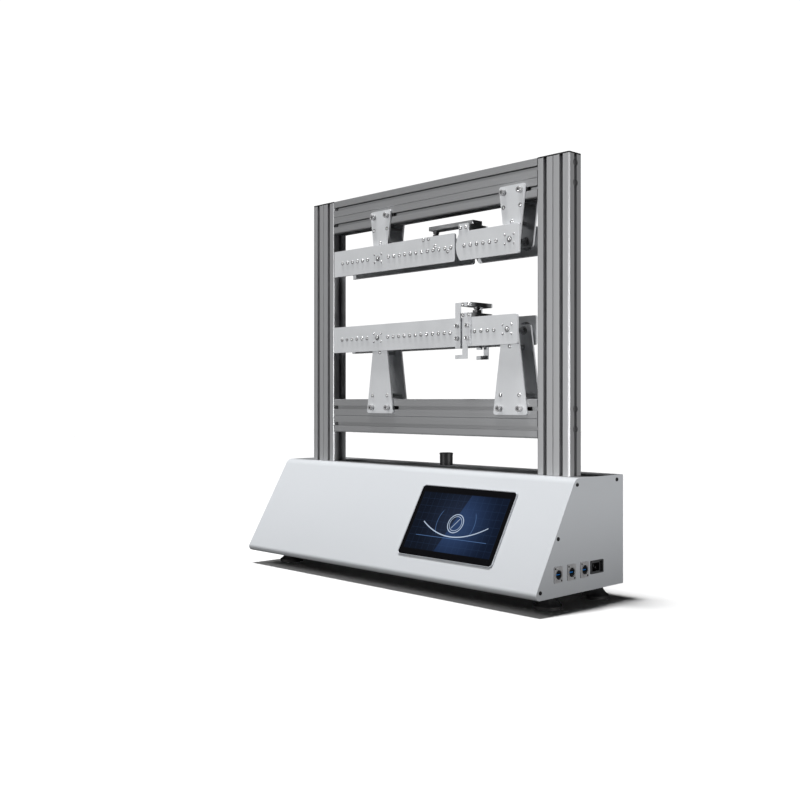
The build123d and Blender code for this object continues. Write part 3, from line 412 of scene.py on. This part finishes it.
def turned_solid(name, rings):
    """A closed mesh object of stacked rings.

    Each ring has a radius, or a function that gives it for an angle, and a height."""
    around = 24
    bm = bmesh.new()
    loops = []
    for radius, z in rings:
        loop = []
        for i in range(around):
            angle = 2 * pi * i / around
            reach = radius(angle) if callable(radius) else radius
            loop.append(bm.verts.new((reach * cos(angle), reach * sin(angle), z)))
        loops.append(loop)
    for low, high in zip(loops, loops[1:]):
        for i in range(around):
            j = (i + 1) % around
            bm.faces.new((low[i], low[j], high[j], high[i]))
    bm.faces.new(tuple(reversed(loops[0])))
    bm.faces.new(tuple(loops[-1]))
    mesh = bpy.data.meshes.new(name)
    bm.to_mesh(mesh)
    bm.free()
    solid = bpy.data.objects.new(name, mesh)
    bpy.context.scene.collection.objects.link(solid)
    return solid


def six_sided(half_width):
    """The reach of a hexagon of that half width across flats, at an angle."""
    return lambda angle: half_width / cos((angle % (pi / 3)) - pi / 6)


def screws_tree():
    """Geometry Nodes that stand a screw on each point, along facing and scaled by its size."""
    tree = bpy.data.node_groups.new("screws_on_seats", "GeometryNodeTree")
    put = tree.interface.new_socket
    put("Seats", in_out="INPUT", socket_type="NodeSocketGeometry")
    put("Screw", in_out="INPUT", socket_type="NodeSocketObject")
    put("Finish", in_out="INPUT", socket_type="NodeSocketMaterial")
    put("Seed", in_out="INPUT", socket_type="NodeSocketInt")
    put("Screws", in_out="OUTPUT", socket_type="NodeSocketGeometry")
    node = {
        name: tree.nodes.new(kind)
        for name, kind in (
            ("given", "NodeGroupInput"),
            ("screw", "GeometryNodeObjectInfo"),
            ("facing", "GeometryNodeInputNamedAttribute"),
            ("size", "GeometryNodeInputNamedAttribute"),
            ("aim", "FunctionNodeAlignRotationToVector"),
            ("chance", "FunctionNodeRandomValue"),
            ("spin", "FunctionNodeAxisAngleToRotation"),
            ("turn", "FunctionNodeRotateRotation"),
            ("stand", "GeometryNodeInstanceOnPoints"),
            ("real", "GeometryNodeRealizeInstances"),
            ("dress", "GeometryNodeSetMaterial"),
            ("result", "NodeGroupOutput"),
        )
    }
    for name in ("facing", "size"):
        node[name].data_type = "FLOAT_VECTOR"
        node[name].inputs["Name"].default_value = name
    node["aim"].axis = "Z"
    node["turn"].rotation_space = "LOCAL"
    node["chance"].data_type = "FLOAT"
    float_output, float_maximum, full_turn = 1, 3, 2 * pi
    node["chance"].inputs[float_maximum].default_value = full_turn
    for source, output, target, socket in (
        ("given", "Screw", "screw", "Object"),
        ("given", "Seed", "chance", "Seed"),
        ("given", "Seats", "stand", "Points"),
        ("screw", "Geometry", "stand", "Instance"),
        ("facing", "Attribute", "aim", "Vector"),
        ("chance", float_output, "spin", "Angle"),
        ("aim", "Rotation", "turn", "Rotation"),
        ("spin", "Rotation", "turn", "Rotate By"),
        ("turn", "Rotation", "stand", "Rotation"),
        ("size", "Attribute", "stand", "Scale"),
        ("stand", "Instances", "real", "Geometry"),
        ("real", "Geometry", "dress", "Geometry"),
        ("given", "Finish", "dress", "Material"),
        ("dress", "Geometry", "result", "Screws"),
    ):
        tree.links.new(node[source].outputs[output], node[target].inputs[socket])
    return tree


def solids_of(bm):
    """The vertices of each separate solid of a merged node."""
    left = set(bm.verts)
    while left:
        found, rim = set(), [left.pop()]
        while rim:
            vert = rim.pop()
            found.add(vert)
            near = {edge.other_vert(vert) for edge in vert.link_edges} & left
            left -= near
            rim += near
        yield found


def box_of(verts):
    """The lowest and the highest corner of a solid."""
    low = Vector([min(vert.co[i] for vert in verts) for i in range(3)])
    high = Vector([max(vert.co[i] for vert in verts) for i in range(3)])
    return low, high


def seats_in(node, axis, middle, head_height=None, wanted=None):
    """Seat, facing and size of each screw of a node, worked out from its solid's box.

    A screw faces away from middle along the axis. Where head_height is given, the screw's mesh has
    its real size, and otherwise it is scaled to the solid. wanted picks solids by their corners."""
    bm = merged(node)
    seats = []
    for verts in solids_of(bm):
        low, high = box_of(verts)
        if wanted and not wanted(low, high):
            continue
        across = (axis + 1) % 3
        radius = (high[across] - low[across]) / 2
        centre = (low + high) / 2
        facing = Vector((0.0, 0.0, 0.0))
        facing[axis] = -1.0 if centre[axis] < middle else 1.0
        outer = low[axis] if centre[axis] < middle else high[axis]
        height = head_height or high[axis] - low[axis]
        seat = centre.copy()
        seat[axis] = outer - facing[axis] * height
        size = (1.0, 1.0, 1.0) if head_height else (radius, radius, height)
        seats.append((seat, facing, size))
    bm.free()
    return sorted(seats, key=lambda row: [round(x, 5) for x in row[0]])


def set_screws(name, seats, screw, material, body, seed, node=None):
    """The screws on their seats as one plain mesh, which replaces the CAD node that is named."""
    crease = radians(38)
    mesh = bpy.data.meshes.new(name)
    mesh.from_pydata([seat for seat, facing, size in seats], [], [])
    for title, column in (("facing", 1), ("size", 2)):
        attribute = mesh.attributes.new(title, "FLOAT_VECTOR", "POINT")
        for entry, row in zip(attribute.data, seats):
            entry.vector = row[column]
    holder = bpy.data.objects.new(name + "_seats", mesh)
    bpy.context.scene.collection.objects.link(holder)
    modifier = holder.modifiers.new("screws", "NODES")
    modifier.node_group = seat_tree
    identifier = {item.name: item.identifier for item in seat_tree.interface.items_tree}
    modifier[identifier["Screw"]] = screw
    modifier[identifier["Finish"]] = material
    modifier[identifier["Seed"]] = seed
    ready = holder.evaluated_get(bpy.context.evaluated_depsgraph_get())
    made = bpy.data.meshes.new_from_object(ready)
    bpy.data.objects.remove(holder)
    made.name = name
    made.shade_smooth()
    made.set_sharp_from_angle(angle=crease)
    for title in ("facing", "size"):
        if made.attributes.get(title):
            made.attributes.remove(made.attributes[title])
    piece = bpy.data.objects.new(name, made)
    bpy.context.scene.collection.objects.link(piece)
    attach(piece, body)
    if node:
        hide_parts(node)
    return piece


seat_tree = screws_tree()
button_socket = 0.26
button = turned_solid(
    "button_head",
    [
        (1.0, 0.0),
        (1.0, 0.10),
        (0.95, 0.34),
        (0.82, 0.60),
        (0.64, 0.82),
        (0.42, 0.96),
        (six_sided(button_socket + 0.03), 1.0),
        (six_sided(button_socket), 0.94),
        (six_sided(button_socket), 0.35),
    ],
)
panel_head_height, panel_socket = 0.0025, 0.0013
panel_screw = turned_solid(
    "panel_screw",
    [
        (0.0016, -0.011),
        (0.0020, -0.0105),
        (0.0020, 0.0),
        (0.0040, 0.0),
        (0.0040, 0.0007),
        (0.0037, 0.0015),
        (0.0030, 0.0022),
        (0.0022, panel_head_height),
        (six_sided(panel_socket), panel_head_height),
        (six_sided(panel_socket), 0.0010),
    ],
)
black_screw = turned_steel(
    "blackened_steel",
    colour(0.022, 0.022, 0.024),
    colour(0.012, 0.012, 0.013),
    roughness=0.34,
    metallic=0.6,
)
set_screws(
    "panel_screws",
    seats_in("side_panel_screws", axis=0, middle=0.0, head_height=panel_head_height),
    panel_screw,
    black_screw,
    "base",
    seed=3,
    node="side_panel_screws",
)
foot_steel = turned_steel(
    "foot_screw_steel", colour(0.5, 0.5, 0.51), colour(0.36, 0.36, 0.37), roughness=0.36
)
coat(foot_steel, "foot_screws", "rail_end_bolts")

# The touch screen: a thin light rim, black cover glass and the picture behind it. The picture is a
# plain one: a dark field, a ruled grid, a bent beam's line over its supports and a small dial. Over
# its lower right a painted sheen lightens the field: a reflection on the glass drawn into the
# picture.
lean = radians(30.3)
glass_low, glass_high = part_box("display_glass")
glass_middle = (glass_low + glass_high) / 2
picture_half_width, picture_half_height, picture_edge = 0.119, 0.0655, 0.0006
field_reach, sheen_lit_reach = 0.11, 0.12
# The slope, offset and soft edge of the painted sheen, a reflection on the glass drawn into the
# picture.
painted_sheen_slope, painted_sheen_offset, painted_sheen_edge = 0.37, 0.008, 0.0008
grid_pitch, grid_half_width = 0.017, 0.0001
beam_drop, beam_curve, beam_half_span, beam_half_width = 0.030, 3.4, 0.090, 0.0009
rest_drop, rest_half_span, rest_half_width = 0.034, 0.098, 0.0003
dial_radius, dial_half_width = 0.0205, 0.0007
inner_radius, inner_half_width = 0.0160, 0.0003
hand_slope, hand_reach, hand_half_width = 0.7, 0.0135, 0.0005
arc_radius, arc_half_width, arc_half_height, arc_fade = 0.052, 0.0005, 0.022, 0.008
glass, glass_shader, glass_place = finish_of(
    "cover_glass", Coat_Weight=1.0, Coat_Roughness=0.03, Emission_Strength=0.8
)
axes = glass_place.make("ShaderNodeSeparateXYZ", {}, {0: glass_place})
x_wire, y_wire, z_wire = (Wire(axes.tree, output) for output in axes.socket.node.outputs)
across = x_wire - glass_middle.x
up = (y_wire - glass_middle.y) * sin(lean) + (z_wire - glass_middle.z) * cos(lean)
across_squared = across * across
distance = (across_squared + up * up).root()


def within(wire, reach, edge=0.0005):
    """1 as far as reach, falling to 0 over edge."""
    return wire.ramp(reach, reach + edge, 1.0, 0.0)


def stroke(gap, half_width):
    """A soft edged line where gap is nearly nothing."""
    return within(abs(gap), half_width)


def ruled(wire):
    """Thin lines, one to each pitch of the grid."""
    return stroke(wire.folded(grid_pitch / 2), grid_half_width)


inside = within(abs(across), picture_half_width, picture_edge) * within(
    abs(up), picture_half_height, picture_edge
)
bend = up + beam_drop - across_squared * beam_curve
beam_line = stroke(bend, beam_half_width) * within(abs(across), beam_half_span)
rest_line = stroke(up + rest_drop, rest_half_width) * within(abs(across), rest_half_span)
dial = stroke(distance - dial_radius, dial_half_width).most(
    stroke(distance - inner_radius, inner_half_width)
)
hand = stroke(across - up * hand_slope, hand_half_width) * within(distance, hand_reach)
arcs = stroke(distance - arc_radius, arc_half_width) * within(abs(up), arc_half_height, arc_fade)
grid = ruled(across).most(ruled(up))
bright_lines = beam_line.most(dial).most(hand)
faint_lines = rest_line.most(arcs * 0.7).most(grid * 0.10)
field = within(distance, 0.0, field_reach).blend(
    colour(0.003, 0.004, 0.008), colour(0.016, 0.024, 0.050)
)
# A lighter copy of the field, shown only under the painted sheen: painted reflection, not the
# screen's own picture.
sheen_lit_field = within(distance, 0.0, sheen_lit_reach).blend(
    colour(0.003, 0.006, 0.018), colour(0.030, 0.062, 0.160)
)
# Painted sheen: right of a slanting line, over the lower right of the picture, the lighter copy of
# the field replaces the dark one.
painted_sheen = (across - up * painted_sheen_slope + painted_sheen_offset).ramp(0.0, painted_sheen_edge)
picture = faint_lines.blend(painted_sheen.blend(field, sheen_lit_field), colour(0.10, 0.20, 0.42))
picture = bright_lines.blend(picture, colour(0.62, 0.74, 0.92))
smudge_scale = 35.0
feed(
    glass_shader,
    Base_Color=inside.blend(colour(0.004, 0.004, 0.005), colour(0.003, 0.005, 0.010)),
    Emission_Color=inside.blend(colour(0.0, 0.0, 0.0), picture),
    Roughness=glass_place.noise(smudge_scale, detail=5.0).ramp(0.5, 0.8, 0.05, 0.16),
)
coat(glass, "display_glass")
rim_edge = 0.0005
rim = rolled_metal(
    "screen_rim",
    colour(0.58, 0.60, 0.63),
    colour(0.50, 0.52, 0.55),
    roughness=0.32,
    metallic=0.5,
    stretch=(0.05, 1.0, 1.0),
)
eased("display_frame", rim_edge, rim, "base")


# Black moulded plastic: the screen's case, the caps on the columns, the lead outlet, and the bodies
# of the sockets, the mains inlet and its rocker. All have the fine spark grain of their moulds.
def moulded(name, pale, dark, roughness):
    """Plastic with the grain of a spark eroded mould and a slow change of tone."""
    pit_scale, tone_scale, pit_depth = 1500.0, 40.0, 0.00005
    material, shader, place = finish_of(name, Specular_IOR_Level=0.25)
    pits = place.noise(pit_scale, detail=2.0)
    feed(
        shader,
        Base_Color=place.noise(tone_scale, detail=4.0).ramp(0.35, 0.7).blend(dark, pale),
        Roughness=pits.ramp(0.3, 0.7, roughness - 0.05, roughness + 0.08),
        Normal=relief(pits, pit_depth),
    )
    return material


cap_edge = 0.0004
black_moulding = moulded(
    "black_moulding", colour(0.020, 0.020, 0.021), colour(0.012, 0.012, 0.013), roughness=0.46
)
coat(black_moulding, "display_housing", "lead_outlet")
eased("column_caps", cap_edge, black_moulding, "base")

# Three round data sockets: a die-cast flange with a raised ring, plated in satin nickel, a black
# insert and the blue tongue that carries the contacts. Two screws hold each flange at its corners.
nickel = turned_steel(
    "satin_nickel",
    colour(0.66, 0.66, 0.67),
    colour(0.54, 0.54, 0.55),
    roughness=0.36,
    metallic=0.35,
)
coat(nickel, "socket_flanges")
socket_black = moulded(
    "socket_black", colour(0.016, 0.016, 0.017), colour(0.010, 0.010, 0.011), roughness=0.5
)
coat(socket_black, "socket_inserts")
tongue_blue = moulded(
    "tongue_blue", colour(0.03, 0.22, 0.62), colour(0.02, 0.16, 0.50), roughness=0.4
)
coat(tongue_blue, "socket_tongues")
flange_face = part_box("socket_flanges")[1].x
flange_bm = merged("socket_flanges")
flange_middles = sorted(
    ((low.y + high.y) / 2, (low.z + high.z) / 2)
    for low, high in (box_of(verts) for verts in solids_of(flange_bm))
)
flange_bm.free()
flange_screw_dy, flange_screw_dz = 0.0092, 0.0117
flange_screw_radius, flange_screw_height = 0.0019, 0.0009
flange_seats = [
    (
        Vector((flange_face, y + side * flange_screw_dy, z - side * flange_screw_dz)),
        Vector((1.0, 0.0, 0.0)),
        (flange_screw_radius, flange_screw_radius, flange_screw_height),
    )
    for y, z in flange_middles
    for side in (-1, 1)
]
set_screws("flange_screws", flange_seats, button, black_screw, "base", seed=5)


def socket_ring(y, z):
    """The raised ring round one socket's mouth, drawn out to a point below."""
    around = 48
    outer, inner, height, outer_ease, inner_ease = 0.0112, 0.0092, 0.0011, 0.0002, 0.0003
    point_from, point_width, point_reach = 0.78, 0.22, 0.0022
    bm = bmesh.new()
    loops = []
    for radius, x, pointed in (
        (outer, 0.0, True),
        (outer - outer_ease, height, True),
        (inner + inner_ease, height, False),
        (inner, 0.0, False),
    ):
        loop = []
        for i in range(around):
            angle = 2 * pi * i / around
            point = max(0.0, -sin(angle) - point_from) / point_width if pointed else 0.0
            reach = radius + point_reach * point * point
            where = (flange_face + x, y + reach * cos(angle), z + reach * sin(angle))
            loop.append(bm.verts.new(where))
        loops.append(loop)
    for first, second in zip(loops, loops[1:] + loops[:1]):
        for i in range(around):
            j = (i + 1) % around
            bm.faces.new((first[i], first[j], second[j], second[i])).smooth = True
    bmesh.ops.recalc_face_normals(bm, faces=bm.faces)
    return bm


for number, (y, z) in enumerate(flange_middles, 1):
    piece_from(socket_ring(y, z), f"socket_ring_{number}", nickel, "base")

# The mains inlet and its rocker switch share one black module with a square flange. The rocker is a
# touch glossier than the body, from the fingers that press it.
inlet_black = moulded(
    "inlet_black", colour(0.085, 0.087, 0.090), colour(0.068, 0.070, 0.073), roughness=0.44
)
coat(inlet_black, "mains_inlet")
rocker_black = moulded(
    "rocker_black", colour(0.020, 0.020, 0.022), colour(0.013, 0.013, 0.014), roughness=0.28
)
coat(rocker_black, "power_rocker")


# The frame is slotted aluminium profile, extruded, then anodised to a satin grey. The die leaves
# fine lines along each length, so the uprights and the cross rails have theirs at right angles.
def extruded(name, stretch, dark, pale):
    """Anodised profile with die lines along the axis that has the small stretch."""
    line_scale, band_scale, line_depth = 900.0, 120.0, 0.00002
    material, shader, place = finish_of(name, Metallic=0.55)
    lines = place.noise(line_scale, detail=4.0, stretch=stretch)
    bands = place.noise(band_scale, detail=3.0, stretch=stretch)
    tone = (lines * 0.45 + bands * 0.55).ramp(0.32, 0.68)
    feed(
        shader,
        Base_Color=tone.blend(dark, pale),
        Roughness=tone.ramp(0.0, 1.0, 0.44, 0.34),
        Normal=relief(lines, line_depth),
    )
    return material


upright_profile = extruded(
    "profile_upright", (1.0, 1.0, 0.004), colour(0.48, 0.485, 0.495), colour(0.56, 0.565, 0.575)
)
cross_profile = extruded(
    "profile_cross", (0.004, 1.0, 1.0), colour(0.38, 0.385, 0.395), colour(0.48, 0.485, 0.495)
)
coat(upright_profile, "left_column", "right_column")
coat(cross_profile, "upper_rail", "lower_rail")

# The brackets, levers, straps and hooks are cut from plate, blasted and anodised to a pale matt
# silver. Their edges are broken by a file, and the blasted face has a fine even grain.
lever_corners = ("upper_left", "upper_right", "lower_left", "lower_right")
blast_scale, blast_patch_scale, blast_depth = 2200.0, 14.0, 0.000012
plate_edge, strap_edge = 0.0004, 0.0003
plate, plate_shader, plate_place = finish_of("blasted_plate", Metallic=0.30)
blast = plate_place.noise(blast_scale, detail=2.0)
blast_patch = plate_place.noise(blast_patch_scale, detail=3.0)
feed(
    plate_shader,
    Base_Color=(blast * 0.3 + blast_patch * 0.7)
    .ramp(0.3, 0.7)
    .blend(colour(0.74, 0.755, 0.775), colour(0.81, 0.825, 0.845)),
    Roughness=blast.ramp(0.3, 0.7, 0.40, 0.52),
    Normal=relief(blast, blast_depth),
)
for corner in lever_corners:
    eased(corner + "_bracket", plate_edge, plate, "base")
    eased(corner + "_lever", plate_edge, plate, corner + "_lever")
eased("lower_straps", strap_edge, plate, "lower_left_lever")
eased("lower_hooks", strap_edge, plate, "lower_right_lever")

# Cap screws clamp the brackets to nuts in the rails' slots, and hold the straps and hooks on their
# levers. Their heads are bright steel with a deep six-sided socket.
rail_low, rail_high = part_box("upper_rail")
frame_middle = (rail_low.y + rail_high.y) / 2
bolt_diameter, bolt_head_height, plate_head_height = 0.013, 0.008, 0.005


def cap_head(name, radius, height, shank_radius, length, socket):
    """A cylinder head screw at its real size, its seat at height 0."""
    return turned_solid(
        name,
        [
            (shank_radius * 0.8, -length),
            (shank_radius, -length + shank_radius * 0.25),
            (shank_radius, 0.0),
            (radius, 0.0),
            (radius, height * 0.86),
            (radius * 0.93, height),
            (six_sided(socket * 1.08), height),
            (six_sided(socket), height * 0.97),
            (six_sided(socket), height * 0.45),
        ],
    )


def is_bolt(low, high):
    """Whether a solid of the bracket bolts is a bolt and not a nut, told from its width."""
    width_tolerance = 0.001
    return abs(high.x - low.x - bolt_diameter) < width_tolerance


def kept_solids(node, name, keep, material, body):
    """Those solids of a node that a replaced group of screws leaves behind."""
    bm = merged(node)
    gone = [vert for verts in list(solids_of(bm)) if not keep(*box_of(verts)) for vert in verts]
    bmesh.ops.delete(bm, geom=gone, context="VERTS")
    return piece_from(bm, name, material, body)


bright = turned_steel(
    "bright_steel",
    colour(0.74, 0.74, 0.75),
    colour(0.60, 0.60, 0.61),
    roughness=0.26,
    metallic=0.55,
)
bracket_bolt = cap_head(
    "bracket_bolt",
    bolt_diameter / 2,
    bolt_head_height,
    shank_radius=0.004,
    length=0.015,
    socket=0.003,
)
set_screws(
    "bracket_cap_screws",
    seats_in("bracket_bolts", 1, frame_middle, bolt_head_height, is_bolt),
    bracket_bolt,
    bright,
    "base",
    seed=7,
    node="bracket_bolts",
)
kept_solids(
    "bracket_bolts",
    "slot_nuts",
    lambda low, high: not is_bolt(low, high),
    zinc,
    "base",
)
plate_screw = cap_head(
    "plate_screw", 0.005, plate_head_height, shank_radius=0.003, length=0.008, socket=0.0024
)
for node, body, seed in (
    ("strap_screws", "lower_left_lever", 11),
    ("hook_screws", "lower_right_lever", 13),
):
    seats = seats_in(node, 1, frame_middle, plate_head_height)
    set_screws(node + "_turned", seats, plate_screw, bright, body, seed, node)

# Turned aluminium spacers tie the two plates of each bracket together, with a button screw at both
# ends. The rows of polished button screws along the levers mark off their arms.
least_spacer_length = 0.030


def is_spacer(low, high):
    """Whether a solid of the bracket spacers is a spacer and not a screw, told from its length."""
    return high.y - low.y > least_spacer_length


kept_solids("bracket_spacers", "tie_spacers", is_spacer, milled, "base")
polished = turned_steel(
    "polished_steel",
    colour(0.74, 0.74, 0.75),
    colour(0.60, 0.60, 0.61),
    roughness=0.24,
    metallic=0.55,
)
set_screws(
    "tie_screws",
    seats_in("bracket_spacers", 1, frame_middle, None, lambda *box: not is_spacer(*box)),
    button,
    polished,
    "base",
    seed=17,
    node="bracket_spacers",
)
for seed, corner in enumerate(lever_corners, 19):
    node, body = corner + "_screws", corner + "_lever"
    seats = seats_in(node, 1, frame_middle)
    set_screws(node + "_polished", seats, button, polished, body, seed, node)

# Two more polished button screws sit beside the row near the upper left lever's inner end, one
# above it and one below.
button_radius, button_height = 0.00475, 0.0024
lever_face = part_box("upper_left_lever")[0].y
stray_seats = [
    (
        Vector((x, lever_face, z)),
        Vector((0.0, -1.0, 0.0)),
        (button_radius, button_radius, button_height),
    )
    for x, z in ((0.062, 0.742), (0.100, 0.727))
]
set_screws(
    "upper_left_stray_screws",
    stray_seats,
    button,
    polished,
    "upper_left_lever",
    seed=29,
)

# Each lever turns on a ground axle in two ball bearings, and a flanged hub at each end joins the
# axle to the plates. The bars between the plates and the pressing arm are milled aluminium.
bar_edge, arm_edge = 0.0004, 0.0006
ground = turned_steel(
    "ground_steel", colour(0.58, 0.58, 0.59), colour(0.48, 0.48, 0.49), roughness=0.26
)
coat(ground, "pivot_bearings", "upper_nose", "upper_pad", "lower_nose", "lower_pad")
for corner in lever_corners:
    coat(ground, corner + "_axle")
    eased(corner + "_cross_bar", bar_edge, milled, corner + "_lever")
eased("pressing_arm", arm_edge, milled, "upper_right_lever")

# Electronics on the floor of the base, behind the front sheet: a control board of green glass fibre
# laminate on its standoffs, with the faint weave of its cloth.
weave_scale = 700.0
board, board_shader, board_place = finish_of("green_laminate", Roughness=0.35)
weave = board_place.noise(weave_scale, detail=2.0)
feed(board_shader, Base_Color=weave.blend(colour(0.01, 0.10, 0.045), colour(0.015, 0.15, 0.07)))
coat(board, "control_board")

# The master screws are taken away, now that each seat has its own. The corners of the CAD model and
# of the dressed one are gathered as the script's last value.
for master in (button, panel_screw, bracket_bolt, plate_screw):
    bpy.data.objects.remove(master)

boxes = {"cad": cad_box, "visual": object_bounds()}
{name: [list(corner) for corner in box] for name, box in boxes.items()}
